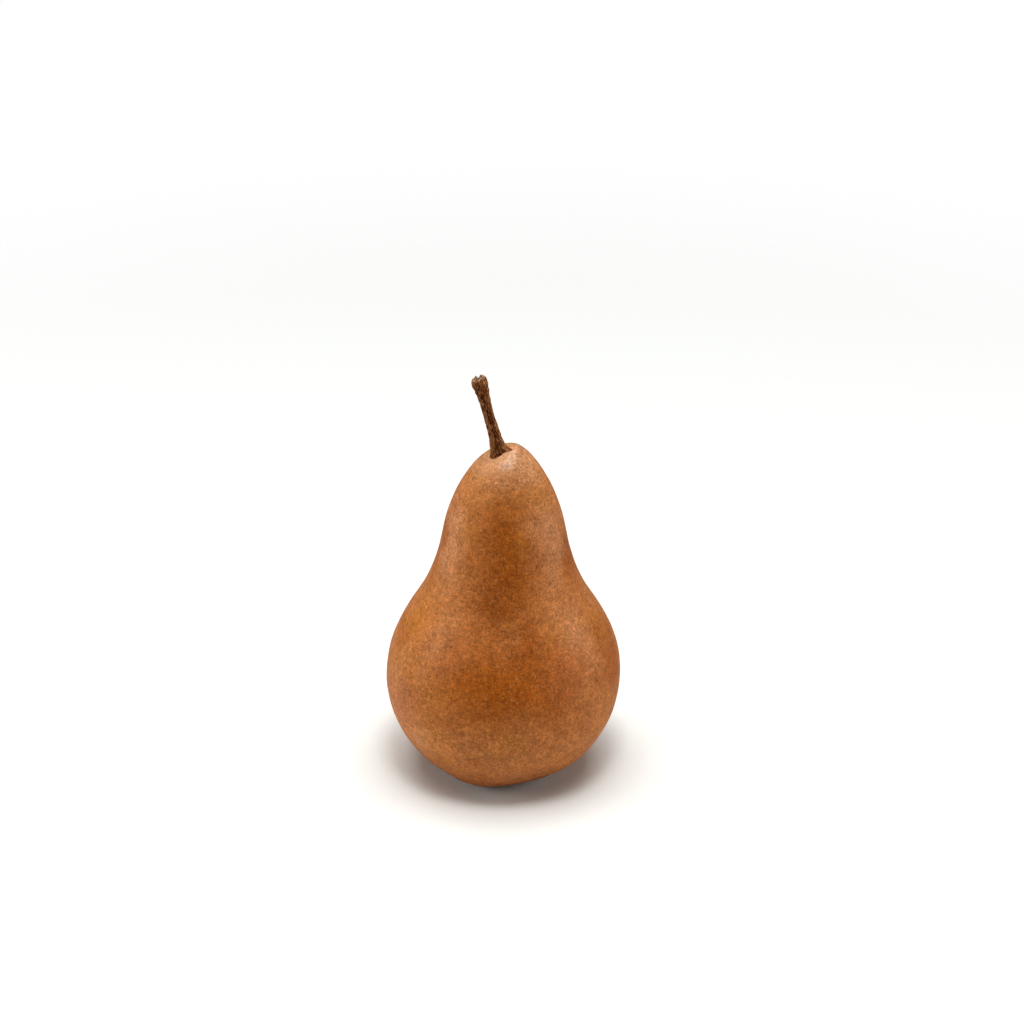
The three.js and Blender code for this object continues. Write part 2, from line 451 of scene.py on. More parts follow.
basin_end = (REST_INNER - BASIN_RIM_RUN, 0)
basin = curve(basin_floor, (BASIN_RUN, BASIN_DEPTH), basin_end, rest_inner, BASIN_STEPS)
base = curve(rest_outer, (REST_OUTER + BASE_RUN, 0), along(belly, 0, -BELLY_RUN_DOWN), belly, BASE_STEPS)
shoulder_end = along(waist, WAIST_SLOPE, -WAIST_RUN_DOWN)
shoulder = curve(belly, along(belly, 0, BELLY_RUN_UP), shoulder_end, waist, SHOULDER_STEPS)
hollow_end = along(neck, NECK_SLOPE, -NECK_RUN_DOWN)
hollow = curve(waist, along(waist, WAIST_SLOPE, WAIST_RUN_UP), hollow_end, neck, HOLLOW_STEPS)
crown = curve(neck, along(neck, NECK_SLOPE, NECK_RUN_UP), (CROWN_RUN, FRUIT_HEIGHT), top, CROWN_STEPS)

outline = [p for p in basin if p.x > BASIN_HOLE] + [Vector(rest_outer)] + base + shoulder + hollow
outline += [p for p in crown if p.x > STEM_HOLE + STEM_GAP] + [Vector((STEM_HOLE, FRUIT_HEIGHT))]
print(len(outline), "rings from the basin to the stem")

# %% Rings, extruded one from the other
skin = turned("skin", outline, FRUIT_SIDES)
report(skin)

# %% [markdown]
# A lathe shape looks turned, not grown. The real fruit has five faint lobes round its base, one for
# each seed chamber, an oval belly, a slight lean, and a crown that tilts and dips where the stem
# stands, with a lip beside the dip. Each is a small smooth change that fades with height, so one rule
# moves all the vertices. The same rule shapes the CAD solid, where only the lip is higher and
# narrower. The last rings also slide over to the foot of the stem, so that the socket can be extruded
# from a clean ring.

# %% From turned to grown
LEAN = 0.7
BASE_SHIFT, BASE_REACH = -1.6, 8.5
CROWN_TILT = 0.07
CROWN_START = 0.85  # the share of the height where the tilt, the dip and the lip set in
CROWN_RADIUS = 15.0  # inside it the rings start to slide towards the stem
LOBES, LOBE_SHARE, LOBE_REACH, LOBE_TURN = 5, 0.03, 13.0, math.radians(-104)
OVAL_SHARE, OVAL_TURN = 0.006, math.radians(35)
STEM_FOOT = Vector((-1.4, 0.0))
DIP_DEPTH, DIP_RADIUS, DIP_CENTRE = 2.0, 4.0, Vector((-1.3, -1.4))  # both centres from the stem's foot
LIP_HEIGHT, LIP_RADIUS, LIP_CENTRE = 0.65, 4.4, Vector((6.0, 0.8))


def crown_height(radius):
    """The height of the outline above the neck at a radius."""
    for outer, inner in zip(crown, crown[1:]):
        if inner.x <= radius <= outer.x:
            share = (outer.x - radius) / (outer.x - inner.x)
            return outer.y + share * (inner.y - outer.y)
    return FRUIT_HEIGHT


def grown(place):
    """Where growth has moved a point of the turned shape."""
    point = place / MM
    radius = math.hypot(point.x, point.y)
    turn = math.atan2(point.y, point.x)
    lobes = LOBE_SHARE * bell(point.z, LOBE_REACH) * math.cos(LOBES * (turn - LOBE_TURN))
    width = 1 + lobes + OVAL_SHARE * math.cos(2 * (turn - OVAL_TURN))
    lean = LEAN * (point.z / FRUIT_HEIGHT) ** 2 + BASE_SHIFT * bell(point.z, BASE_REACH)
    flat = Vector((point.x * width + lean, point.y * width))
    height = point.z
    if point.z > NECK_HEIGHT and radius < CROWN_RADIUS:
        axis = Vector((lean, 0))
        flat += (STEM_FOOT - axis) * ease(-radius, -CROWN_RADIUS, -STEM_HOLE)
        height = crown_height((flat - axis).length / width)
    from_foot = flat - STEM_FOOT
    dip = DIP_DEPTH * bell((from_foot - DIP_CENTRE).length, DIP_RADIUS)
    lip = LIP_HEIGHT * bell((from_foot - LIP_CENTRE).length, LIP_RADIUS)
    height += ease(height / FRUIT_HEIGHT, CROWN_START, 1) * (CROWN_TILT * flat.x + lip - dip)
    return Vector((flat.x, flat.y, height)) * MM


move_vertices(skin, grown)
report(skin)

# %% [markdown]
# The stem doesn't sit on the skin. It comes out of a narrow socket whose wall turns down beside it,
# and that dark crease is what makes the joint look real. The top ring is extruded down into the
# flesh in short steps and closed at the bottom, where nobody sees it. The ring in the middle of the
# basin is closed in the same way, as a socket for the calyx.

# %% The two sockets
STEM_SOCKET = [(-0.3, 0.94), (-0.6, 0.94), (-1.2, 0.97), (-1.6, 0.96)]  # (rise in mm, share of the width)
CALYX_SOCKET = [(0.5, 0.98), (1.0, 1.0), (0.6, 0.98)]
MIDDLE_HEIGHT = 50  # between the two open rings


def close_in_steps(piece, wanted, steps, centre):
    """In edit mode, extrudes the open ring that passes a test in steps about a centre, and closes it."""
    select_open_ring(piece, wanted)
    for rise, share in steps:
        extrude_ring((0, 0, rise * MM), share, (centre[0] * MM, centre[1] * MM, 0))
    bpy.ops.mesh.merge(type="CENTER")


pick(skin)
bpy.ops.object.mode_set(mode="EDIT")
close_in_steps(skin, lambda height: height > MIDDLE_HEIGHT, STEM_SOCKET, STEM_FOOT)
close_in_steps(skin, lambda height: height < MIDDLE_HEIGHT, CALYX_SOCKET, (BASE_SHIFT, 0))
face_outwards()
bpy.ops.object.mode_set(mode="OBJECT")
report(skin)

# %% [markdown]
# Subdivision rounds the rings into one smooth skin. Real skin is never that even: broad, very low
# swellings show where the light slides over the belly, and the flesh is pleated where it draws in to
# the calyx. Displace modifiers with cloud textures make the swellings. The pleats run out from the
# calyx like spokes, which no cloud texture does, so they are a rule.

# %% Smooth skin with low swellings
SWELLINGS = [("swelling", 14.0, 0.42), ("unevenness", 3.2, 0.06)]  # (name, size in mm, height in mm)

finish_modifier(skin, "SUBSURF", levels=2, render_levels=2)
for name, size, height in SWELLINGS:
    clouds = bpy.data.textures.new(name, "CLOUDS")
    clouds.noise_scale = size * MM
    finish_modifier(skin, "DISPLACE", texture=clouds, strength=height * MM, mid_level=0.5)
report(skin)

# %% Pleats round the calyx
PLEAT_DEPTH = 0.38
PLEAT_INNER, PLEAT_OUTER = 2.4, 9.6  # where they start and where they have faded, from the calyx
PLEAT_TOP = BASIN_DEPTH + 1  # nothing higher up is pleated
PLEAT_SPOKES = 2.6  # how often they come, as the radius of a circle through the noise
PLEAT_DRIFT = 0.08  # how soon a pleat gives way to another on its way out


def pleated(place):
    """Where the pleats have moved a point of the basin. Nothing sinks below the resting surface."""
    point = place / MM
    spoke = Vector((point.x - BASE_SHIFT, point.y))
    if point.z < PLEAT_TOP and spoke.length < PLEAT_OUTER:
        turn = spoke.normalized() * PLEAT_SPOKES
        fold = noise.noise(Vector((turn.x, turn.y, spoke.length * PLEAT_DRIFT)))
        point.z += PLEAT_DEPTH * fold * ease(-spoke.length, -PLEAT_OUTER, -PLEAT_INNER)
    return Vector((point.x, point.y, max(point.z, 0.0))) * MM


move_vertices(skin, pleated)
smooth(skin)
report(skin)
gap_to_node(skin, "fruit")

# %% [markdown]
# ## The stem
# A pear's stalk is a slightly crooked woody rod: a flared foot, a thin middle, and a swollen end
# where it broke off the spur. Its bark has shrunk into lengthwise ridges and is rough all over. A
# straight rod is extruded first, because ridges and fibres are easy to set out along a straight axis,
# and a Curve modifier then bends it along the stalk's line.

# %% A straight rod, ring by ring
STEM_SIDES = 120
STEM_RING_STEP = 0.24
STEM_SIDE = [  # (mm from the root, radius in mm)
    (0.0, 2.4), (3.0, 2.62), (4.6, 2.5), (5.8, 2.36), (7.2, 2.16), (9.6, 1.84), (12.9, 1.62), (16.0, 1.54),
    (19.2, 1.59), (22.3, 1.7), (24.9, 2.03), (26.4, 2.38), (27.4, 2.3), (28.0, 2.1), (28.3, 1.7),
]
TIP_RINGS = [(0.1, 0.84), (-0.12, 0.78), (-0.4, 0.76), (-0.25, 0.6), (-0.05, 0.4)]  # (rise in mm, share)
STEM_LENGTH = STEM_SIDE[-1][0]


def stem_radius(height):
    """The stalk's radius at a height, eased from one stated radius to the next."""
    for (low, start), (high, end) in zip(STEM_SIDE, STEM_SIDE[1:]):
        if height <= high:
            return start + (end - start) * ease(height, low, high)
    return STEM_SIDE[-1][1]


stem_rings = round(STEM_LENGTH / STEM_RING_STEP)
heights = [index * STEM_LENGTH / stem_rings for index in range(stem_rings + 1)]
stalk = turned("stalk", [(stem_radius(height), height) for height in heights], STEM_SIDES)
pick(stalk)
bpy.ops.object.mode_set(mode="EDIT")
close_in_steps(stalk, lambda height: height > STEM_LENGTH / 2, TIP_RINGS, (0, 0))
close_ring(stalk, lambda height: height < STEM_LENGTH / 2)
face_outwards()
bpy.ops.object.mode_set(mode="OBJECT")
report(stalk)

# %% [markdown]
# The bark's relief is one function of a place on the straight rod: five ridges, fibres between them
# with deep grooves, and warts. It moves the vertices, and its value is also kept on each vertex as an
# attribute, together with the place on the straight rod. The bark's material reads both later, so
# that the grooves are dark and the worn ridges pale, and the grain bends with the stalk.

# %% The bark's relief, in millimetres
MEAN_RADIUS = 1.8  # of the stalk, where noise runs round it
RIDGES, RIDGE_HEIGHT = 5, 0.11
RIDGE_TWIST = 0.05  # radians per mm
FIBRE_SIZE, FIBRE_LENGTH, FIBRE_HEIGHT, FIBRE_SHARE = 0.5, 4.5, 0.3, 0.7
GROOVES_ROUND, GROOVES_ALONG = 1.7, 1.4  # how much closer they come than the fibres
GROOVE_BRIM, GROOVE_FLOOR = 0.3, 0.2  # above the brim the noise is cut off level
GROOVE_SHIFT = Vector((7, 3, 0))  # so that they don't follow the fibres
WART_SIZE, WART_HEIGHT = 0.9, 0.12


def bark_relief(point):
    """How far the bark stands out at a point of the straight rod."""
    turn = math.atan2(point.y, point.x) + RIDGE_TWIST * point.z
    side = Vector((math.cos(turn), math.sin(turn), 0)) * MEAN_RADIUS / FIBRE_SIZE
    rise = Vector((0, 0, point.z / FIBRE_LENGTH))
    fibres = noise.noise(side + rise)
    grooves = abs(noise.noise(GROOVES_ROUND * side + GROOVES_ALONG * rise + GROOVE_SHIFT))
    grain = FIBRE_SHARE * fibres + min(grooves, GROOVE_BRIM) - GROOVE_FLOOR
    warts = noise.noise(point / WART_SIZE)
    return RIDGE_HEIGHT * math.cos(RIDGES * turn) + FIBRE_HEIGHT * grain + WART_HEIGHT * warts


# %% Bark, toe and broken end
TOE_TURN, TOE_WIDTH = math.radians(-22), 0.36  # where the foot spreads over the skin on one side
TOE_HEIGHT, TOE_THICKNESS, TOE_REACH = 5.0, 0.8, 2.3
BREAK_REACH, SPLINTER_HEIGHT, SPLINTER_SIZE, SPLINTER_SLICE = 2.4, 0.6, 0.625, 9.1
KNOBS = [  # (x, y, reach, height) in mm: what was left standing, and torn out, where the stalk broke
    (1.2, 0.3, 1.2, 0.8), (-1.4, 0.2, 0.8, 0.3), (0.0, 0.9, 0.5, -0.4), (-0.7, -0.6, 0.6, -0.4),
]
CORE_RADIUS = 0.6  # inside it the relief moves the break less and less
ON_AXIS = 1e-6  # the vertex in the middle of an end has no side to move to


def weathered(place):
    """Where the relief and the break have moved a point of the straight rod."""
    point = place / MM
    radius = math.hypot(point.x, point.y)
    if radius < ON_AXIS:
        return place
    turn = math.atan2(point.y, point.x)
    toe = TOE_REACH * bell(turn - TOE_TURN, TOE_WIDTH) * bell(point.z - TOE_HEIGHT, TOE_THICKNESS)
    width = 1 + (bark_relief(point) + toe) / max(radius, CORE_RADIUS)
    broken = ease(point.z, STEM_LENGTH - BREAK_REACH, STEM_LENGTH)
    splinters = noise.noise(Vector((point.x / SPLINTER_SIZE, point.y / SPLINTER_SIZE, SPLINTER_SLICE)))
    knobs = sum(high * bell(math.hypot(point.x - x, point.y - y), reach) for x, y, reach, high in KNOBS)
    rise = broken * (SPLINTER_HEIGHT * splinters + knobs)
    return Vector((point.x * width, point.y * width, point.z + rise)) * MM


stalk.data.attributes.new("rod", "FLOAT_VECTOR", "POINT")
stalk.data.attributes.new("relief", "FLOAT", "POINT")
rod, relief = (stalk.data.attributes[name] for name in ("rod", "relief"))
for vertex in stalk.data.vertices:
    rod.data[vertex.index].vector = vertex.co
    relief.data[vertex.index].value = 0.5 + bark_relief(vertex.co / MM) / (2 * FIBRE_HEIGHT)
move_vertices(stalk, weathered)
report(stalk)

# %% Bent along its line
STEM_LINE = [  # from the root in the flesh to the broken end, in mm
    (-0.4, -0.3, 102.5),
    (-1.15, -0.1, 107.5),
    (-2.28, 0.2, 112.0),
    (-4.0, 0.7, 118.0),
    (-5.6, 1.2, 124.0),
    (-7.1, 1.8, 129.9),
]
STEM_TURN = math.radians(102)  # turns the bent rod about itself, so that its X still points to the right
STEM_LINE_STEPS = 24  # between one point of the line and the next

bpy.ops.object.select_all(action="DESELECT")
bpy.ops.curve.primitive_bezier_curve_add()
stem_line = bpy.context.object
stem_line.data.resolution_u = STEM_LINE_STEPS
spline = stem_line.data.splines[0]
spline.bezier_points.add(len(STEM_LINE) - len(spline.bezier_points))
for knot, place in zip(spline.bezier_points, STEM_LINE):
    knot.co = Vector(place) * MM
    knot.handle_left_type = knot.handle_right_type = "AUTO"
    knot.tilt = STEM_TURN
finish_modifier(stalk, "CURVE", object=stem_line, deform_axis="POS_Z")
delete(stem_line)
smooth(stalk)
report(stalk)
gap_to_node(stalk, "stem")

# %% [markdown]
# ## The calyx
# Under the fruit sits what is left of the flower: a short woody cup, five dried sepals that spread
# from its rim, and withered stamens inside it. The cup is turned like the fruit. One flat sepal and
# one straight stamen are modelled, and every copy is then bent by a rule of its own, because a
# bent copy that is only turned would look stamped.

# %% The cup
CUP_SIDES = 72
CUP_PROFILE = [  # (radius, height) in mm, from the tube's floor, over the rim and up into the flesh
    (1.2, 7.3), (1.42, 6.9), (1.5, 6.3), (1.56, 5.7), (1.74, 5.2), (2.0, 4.98), (2.3, 4.9),
    (2.62, 4.98), (2.9, 5.2), (3.05, 5.6), (3.1, 6.2), (3.0, 7.0), (2.7, 7.8),
]
CUP_RADIUS = 3.1
CUP_SHRINK = 0.1
CUP_FLUTES, CUP_FLUTE_DEPTH = 10, 0.12
CRUMPLE_SIZE, CRUMPLE_WIDTH, CRUMPLE_HEIGHT = 1.0, 0.18, 0.21


def crumpled(place):
    """Where drying has moved a point of the cup, which also moves under the basin."""
    point = place / MM
    turn = math.atan2(point.y, point.x)
    share = math.hypot(point.x, point.y) / CUP_RADIUS
    flute = CUP_FLUTE_DEPTH * math.cos(CUP_FLUTES * turn) * share
    crumple = noise.noise(point / CRUMPLE_SIZE)
    width = 1 + (flute - CUP_SHRINK + CRUMPLE_WIDTH * crumple) / CUP_RADIUS
    height = point.z + CRUMPLE_HEIGHT * crumple
    return Vector((point.x * width + BASE_SHIFT, point.y * width, height)) * MM


cup = turned("calyx_cup", CUP_PROFILE, CUP_SIDES)
close_both_ends(cup, (CUP_PROFILE[0][1] + CUP_PROFILE[-1][1]) / 2)
finish_modifier(cup, "SUBSURF", levels=1, render_levels=1)
move_vertices(cup, crumpled)
smooth(cup)
report(cup)

# %% [markdown]
# A sepal was a small green leaf that covered the bud. Dried, it is a thin pointed blade, cupped and
# wrinkled along its length. It is cut flat out of a grid, given its thickness by Solidify, and then
# bent along a line that starts inside the cup and hangs out under the basin.

# %% One flat sepal
SEPAL_LENGTH, SEPAL_WIDTH, SEPAL_THICKNESS = 5.6, 3.3, 0.32
SEPAL_TAPER, SEPAL_TIP = 0.7, 0.1  # how roundly the blade narrows, and half its width at the tip
SEPAL_RAGS, SEPAL_RAG_SHARE, SEPAL_RAG_SLICE = 6, 0.14, 2
SEPAL_WRINKLES, SEPAL_WRINKLES_ACROSS, SEPAL_WRINKLE_HEIGHT, SEPAL_WRINKLE_SLICE = 3, 2.4, 0.22, 5
SEPAL_CUPPING = 0.5
SEPAL_STEPS_ALONG, SEPAL_STEPS_ACROSS = 20, 10


def cut_out(place):
    """Where a point of the unit grid lies on the flat sepal, with X along it from its root."""
    share = place.x + 0.5
    across = place.y * 2
    half_width = (SEPAL_WIDTH / 2) * (1 - share) ** SEPAL_TAPER + SEPAL_TIP
    rag = noise.noise(Vector((share * SEPAL_RAGS, across, SEPAL_RAG_SLICE)))
    wrinkled = Vector((share * SEPAL_WRINKLES, across * SEPAL_WRINKLES_ACROSS, SEPAL_WRINKLE_SLICE))
    height = SEPAL_WRINKLE_HEIGHT * noise.noise(wrinkled) - SEPAL_CUPPING * across**2 * half_width
    return Vector((share * SEPAL_LENGTH, across * half_width * (1 + SEPAL_RAG_SHARE * rag), height)) * MM


bpy.ops.object.select_all(action="DESELECT")
bpy.ops.mesh.primitive_grid_add(x_subdivisions=SEPAL_STEPS_ALONG, y_subdivisions=SEPAL_STEPS_ACROSS, size=1)
flat_sepal = bpy.context.object
flat_sepal.name = "flat_sepal"
move_vertices(flat_sepal, cut_out)
finish_modifier(flat_sepal, "SOLIDIFY", thickness=SEPAL_THICKNESS * MM, offset=0)
finish_modifier(flat_sepal, "SUBSURF", levels=1, render_levels=1)
report(flat_sepal)

# %% Five sepals, each bent and curled its own way
SEPAL_LINE = [(2.2, 5.45), (3.6, 4.8), (5.4, 3.3), (6.2, 1.9)]  # (radius, height) in mm, from the cup out
SEPAL_CURLS = [0.1, 0.6, 0.3, 0.7, 0.0]  # how far each tip has curled back up, in mm
SEPAL_TURN = 0.3
CREASE_SIZE, CREASE_HEIGHT, CREASE_SLICE = 1.25, 0.25, 3.0


def on_curve(points, share, lift):
    """A point at a share of a Bezier curve in a plane, lifted off it to its left."""
    while len(points) > 2:
        points = [a.lerp(b, share) for a, b in zip(points, points[1:])]
    tangent = (points[1] - points[0]).normalized()
    return points[0].lerp(points[1], share) + lift * Vector((-tangent.y, tangent.x))


def hung(place, line, index):
    """Where a point of the flat sepal hangs, with creases that no other sepal has."""
    point = place / MM
    slice_of_its_own = Vector((point.x / CREASE_SIZE, point.y / CREASE_SIZE, CREASE_SLICE * index))
    lift = point.z + CREASE_HEIGHT * noise.noise(slice_of_its_own)
    spot = on_curve(line, min(1.0, max(0.0, point.x / SEPAL_LENGTH)), lift)
    return Vector((spot.x, point.y, spot.y)) * MM


def turned_about_z(piece, angle):
    """Turns a piece's mesh about the vertical, and moves it to the middle of the basin."""
    pick(piece)
    bpy.ops.object.mode_set(mode="EDIT")
    bpy.ops.mesh.select_all(action="SELECT")
    bpy.ops.transform.rotate(value=angle, orient_axis="Z", center_override=(0, 0, 0))
    bpy.ops.transform.translate(value=(BASE_SHIFT * MM, 0, 0))
    bpy.ops.object.mode_set(mode="OBJECT")


sepals = []
for index, curl in enumerate(SEPAL_CURLS):
    sepal = copied(flat_sepal, f"sepal_{index + 1}")
    line = [Vector(p) for p in SEPAL_LINE]
    line[-1].y += curl
    move_vertices(sepal, lambda place: hung(place, line, index))
    turned_about_z(sepal, SEPAL_TURN + index * math.tau / len(SEPAL_CURLS))
    smooth(sepal)
    sepals.append(sepal)
delete(flat_sepal)
report(sepals[0])
print(len(sepals), "sepals")

# %% One straight stamen
STAMEN_SIDES = 8
STAMEN_PROFILE = [  # (radius, height) in mm: a thin thread with a shrunken knob at its end
    (0.13, 0.0), (0.12, 0.5), (0.1, 1.0), (0.1, 1.5), (0.11, 1.9), (0.19, 2.1), (0.2, 2.35), (0.1, 2.5),
]

straight_stamen = turned("straight_stamen", STAMEN_PROFILE, STAMEN_SIDES)
close_both_ends(straight_stamen, STAMEN_PROFILE[-1][1] / 2)
report(straight_stamen)

# %% Withered stamens in the cup
STAMENS, STAMEN_SEED = 13, 4
CUP_FLOOR = 7.0
STAMEN_TURN, STAMEN_ROOT = (-0.2, 0.2), (0.35, 1.1)  # how unevenly they stand, and how far from the middle
STAMEN_LEAN, STAMEN_SPREAD, STAMEN_CURL = (-1, 1), (-0.05, 0.2), (-0.1, 0.14)


def withered(place, root, lean, spread, curl):
    """Where a point of the straight stamen ends up, upside down in the cup."""
    point = place / MM
    flat = root + lean * (spread * point.z + curl * point.z**2)
    return Vector((point.x + flat.x + BASE_SHIFT, point.y + flat.y, CUP_FLOOR - point.z)) * MM


draw = random.Random(STAMEN_SEED)
threads = []
for index in range(STAMENS):
    turn = index * math.tau / STAMENS + draw.uniform(*STAMEN_TURN)
    root = Vector((math.cos(turn), math.sin(turn))) * draw.uniform(*STAMEN_ROOT)
    lean_x = math.cos(turn + draw.uniform(*STAMEN_LEAN))
    lean_y = math.sin(turn + draw.uniform(*STAMEN_LEAN))
    lean = Vector((lean_x, lean_y))
    spread, curl = draw.uniform(*STAMEN_SPREAD), draw.uniform(*STAMEN_CURL)
    thread = copied(straight_stamen, f"stamen_{index + 1}")
    move_vertices(thread, lambda place: withered(place, root, lean, spread, curl))
    threads.append(thread)
delete(straight_stamen)
for thread in threads:
    thread.select_set(True)
bpy.context.view_layer.objects.active = threads[0]
bpy.ops.object.join()
stamens = bpy.context.object
stamens.name = "stamens"
bpy.ops.object.mode_set(mode="EDIT")
face_outwards()
bpy.ops.object.mode_set(mode="OBJECT")
smooth(stamens)
report(stamens)

# %% [markdown]
# ## Russet skin
# The brown of this pear is a corky coat over an ochre ground. It varies at several sizes at once:
# broad patches where the coat is thin and deep in colour or thick and pale, blotches of a few
# millimetres, and a fine woven grain. The broad patches sit in certain places on this fruit. The front
# of the neck and the belly are deep and the front of the waist deepest, which is painted shade, as are
# the darker rims and the darker underside. The front flanks are pale as painted light, and the crown is
# pale partly as painted highlight. The ochre and rosy areas between, and the deep and pale patches at
# the back, are the skin's own colour. Noise alone can't put them there, so they are soft ellipsoids
# with wandering edges, read in Object coordinates so that they stay on the skin.

# %% Where the broad patches are: a centre and a reach along X, Y and Z, in millimetres
# The first six are painted shade: the front of the neck and the belly, where no lamp faces, and the rims of
# the neck and the belly. The last two, at the back, are the skin's own deep colour.
SHADE_AND_DEEP_PATCHES = [
    ((2, -20, 81), (18, 21, 40)),
    ((0, -34, 45), (54, 44, 23)),
    ((37, -10, 47), (13, 22, 30)),
    ((-36, -9, 58), (11, 20, 20)),
    ((-21, -3, 83), (7, 14, 26)),
    ((22, -3, 80), (7, 14, 28)),
    ((14, 22, 74), (20, 26, 34)),
    ((-16, 30, 40), (44, 34, 24)),
]
# Painted shade: the front of the waist, deepest, and the rims beside the neck and the belly.
WAIST_SHADE_PATCHES = [
    ((-4, -25, 65), (14, 12, 11)),
    ((7, -29, 58), (8, 12, 9)),
    ((-22, -3, 84), (7, 12, 24)),
    ((37, -9, 54), (9, 18, 19)),
]
# The first six, on the front flanks and beside the neck, are painted light from the side lamps. The last
# two, at the back, are the skin's own pale colour.
LIT_AND_PALE_PATCHES = [
    ((-19, -22, 48), (14, 15, 24)),
    ((-30, -15, 36), (12, 16, 20)),
    ((-24, -20, 23), (10, 14, 14)),
    ((22, -19, 50), (12, 14, 28)),
    ((-15, -9, 84), (9, 12, 30)),
    ((13, -12, 84), (10, 13, 30)),
    ((-20, 20, 70), (14, 14, 28)),
    ((24, 22, 34), (14, 14, 22)),
]
OCHRE_PATCHES = [
    ((1, -13, 99), (13, 12, 10)),
    ((-27, -13, 55), (17, 17, 19)),
    ((30, -7, 54), (13, 15, 17)),
    ((-8, 26, 62), (22, 18, 20)),
]
ROSY_PATCHES = [
    ((18, -29, 44), (12, 13, 16)),
    ((-31, -18, 33), (13, 15, 15)),
    ((10, 33, 24), (20, 18, 16)),
]
# The crown: paler partly as painted highlight, smoother, and glossy.
CROWN_PATCH = ((0, 0, 112), (24, 24, 22))
# Painted shade: darker towards the bottom all round.
UNDERSIDE_SHADE_PATCH = ((BASE_SHIFT, 0, 3), (58, 58, 25))
FOOT_PATCH = ((BASE_SHIFT, 0, 0), (16, 16, 10))
EDGE_SIZE, EDGE_REACH = 12, 6  # the size and the reach of the wandering of their edges
CLOUDS = (17, 3, 0.55)  # size in mm, detail and roughness of the noise between the patches

# %% Colours of the skin, in linear light
TAN = (0.443, 0.149, 0.039, 1)
# Deep russet: the skin's own colour in the clouds and at the back, and painted shade on the front and the
# rims.
DEEP_RUSSET_AND_SHADE = (0.32, 0.074, 0.0034, 1)
# Painted shade at the front of the waist and on the rims.
WAIST_SHADE_BROWN = (0.235, 0.047, 0.001, 1)
# Pale tan: painted light on the front flanks, and the skin's own colour at the back.
PALE_TAN_AND_SHEEN = (0.54, 0.23, 0.096, 1)
OCHRE = (0.435, 0.152, 0.019, 1)
ROSY = (0.355, 0.096, 0.026, 1)
# The crown's own paler cork, with a painted highlight in it.
CROWN_TAN_AND_HIGHLIGHT = (0.63, 0.325, 0.16, 1)
# Painted shade under the belly.
UNDERSIDE_SHADE = (0.105, 0.022, 0.004, 1)
CORK = (0.20, 0.085, 0.035, 1)
PALE_GRAIN = (0.6, 0.29, 0.11, 1)

# %% Broad patches, one over the other
russet, start, skin_shader = new_material("russet_skin")
place = start.node("TexCoord", output="Object")
loose = place.wandering(EDGE_SIZE, EDGE_REACH)
crown_mask = loose.near(*CROWN_PATCH)
clouds = place.cloud(*CLOUDS)
# The deep, waist, pale, crown and underside layers paint shade and light as well as the skin's own colour.
coat = [  # (colour, where it lies, its share there)
    (OCHRE, loose.near_any(OCHRE_PATCHES), 0.45),
    (PALE_TAN_AND_SHEEN, loose.near_any(LIT_AND_PALE_PATCHES), 0.85),
    (CROWN_TAN_AND_HIGHLIGHT, crown_mask, 1.0),
    (DEEP_RUSSET_AND_SHADE, loose.near_any(SHADE_AND_DEEP_PATCHES), 0.95),
    (WAIST_SHADE_BROWN, loose.near_any(WAIST_SHADE_PATCHES), 0.7),
    (ROSY, loose.near_any(ROSY_PATCHES), 0.5),
    (OCHRE, clouds.band(0.52, 0.68), 0.35),
    (DEEP_RUSSET_AND_SHADE, 1 - clouds.band(0.3, 0.48), 0.3),
    (UNDERSIDE_SHADE, loose.near(*UNDERSIDE_SHADE_PATCH), 0.8),
    (CORK, loose.near(*FOOT_PATCH), 0.75),
]
coated = layered(start, TAN, coat)
print(len(coat), "layers over the tan ground")

# %% [markdown]
# The grain is what makes russet look like cork and not like paint. Seen close it is woven: tiny cells
# with short threads that run up and round the fruit. One noise gives the cells, and two more, each
# drawn out along one direction, give the threads. Their tone is squared, so that a few light grains
# stand out and the dark ones stay quiet, and rarer pale flecks lie on top. On the crown the cork is
# worn smooth, and a thin gloss there carries the highlight.

# %% Grain and flecks
BLOTCHES, MOTTLE = (4.5, 4, 0.6), (1.5, 3, 0.65)  # size in mm, detail and roughness
CELLS, THREADS, FLECKS = (0.42, 2, 0.6), (0.6, 2, 0.6), (0.7, 1, 0.5)
RISING, LYING, FLECK_SHAPE = (1, 1, 0.35), (0.4, 0.4, 1), (1, 1, 0.6)  # below 1 draws out along that axis
FLECK_DRIFT, FLECK_DRIFT_REACH = 3, 1
CELL_SHARE, THREAD_SHARE = 0.4, 0.3
WEAVE_TONE, MOTTLE_TONE, BLOTCH_TONE = 1.75, 0.4, 0.4  # how strongly each changes the tone
FLECK_SHARE = 0.28

blotches = place.cloud(*BLOTCHES)
mottle = place.cloud(*MOTTLE)
cells = place.cloud(*CELLS)
rising = place.stretched(RISING).cloud(*THREADS)
lying = place.stretched(LYING).cloud(*THREADS)
flecks = place.wandering(FLECK_DRIFT, FLECK_DRIFT_REACH).stretched(FLECK_SHAPE).cloud(*FLECKS)

weave = cells * CELL_SHARE + rising * THREAD_SHARE + lying * THREAD_SHARE
tone = 1 + (weave - 0.5) * WEAVE_TONE + (mottle - 0.5) * MOTTLE_TONE + (blotches - 0.5) * BLOTCH_TONE
grained = coated.times(tone * tone).mixed(PALE_GRAIN, flecks.band(0.56, 0.76) * FLECK_SHARE)
feed(skin_shader, "Base Color", grained)
print("cells of", CELLS[0], "mm, threads of", THREADS[0], "mm")

